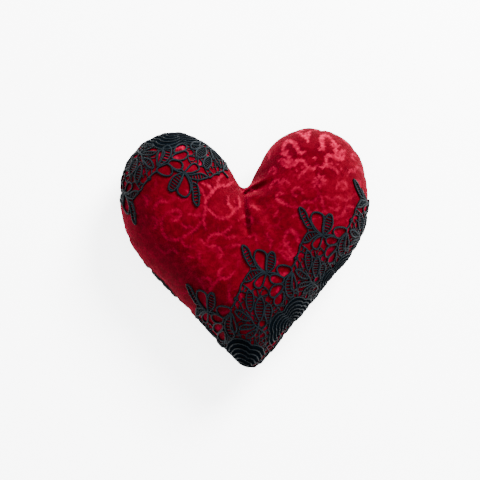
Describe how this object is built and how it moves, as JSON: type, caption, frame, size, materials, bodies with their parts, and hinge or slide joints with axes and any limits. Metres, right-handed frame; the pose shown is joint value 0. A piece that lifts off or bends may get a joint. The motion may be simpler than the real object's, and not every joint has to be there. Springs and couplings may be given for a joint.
{
  "type": "stuffed velvet heart",
  "caption": "Soft stuffed heart in figured red velvet, with black openwork lace laid over its tip and one lobe, and a plain black cloth back.",
  "frame": {"origin": "the middle of the heart's footprint, on the surface it lies on", "axes": "+X across the lobes to the right as seen from the front, +Y from the tip towards the lobes, +Z out of the velvet front, away from the surface it lies on"},
  "size_m": [0.141, 0.1342, 0.0536],
  "materials": {
    "velvet": "figured pile velvet, deep red",
    "backing": "plain black woven cloth",
    "lace": "black guipure lace, slightly shiny cord",
    "thread": "black sewing thread",
    "fibre": "loose white fibre"
  },
  "bodies": {
    "root": {"front_cover": "velvet", "back_cover": "backing", "filling": "fibre", "lace_lower_right": "lace", "lace_upper_left": "lace", "seam_thread": "thread", "closing_stitches": "thread", "tack_lower_right_spear_1": "thread", "tack_lower_right_spear_2": "thread", "tack_lower_right_spear_3": "thread", "tack_lower_right_knot_2": "thread", "tack_lower_right_knot_3": "thread", "tack_lower_right_knot_4": "thread", "tack_upper_left_spear_2": "thread", "tack_upper_left_spear_3": "thread", "tack_upper_left_knot_3": "thread"}
  },
  "joints": []
}
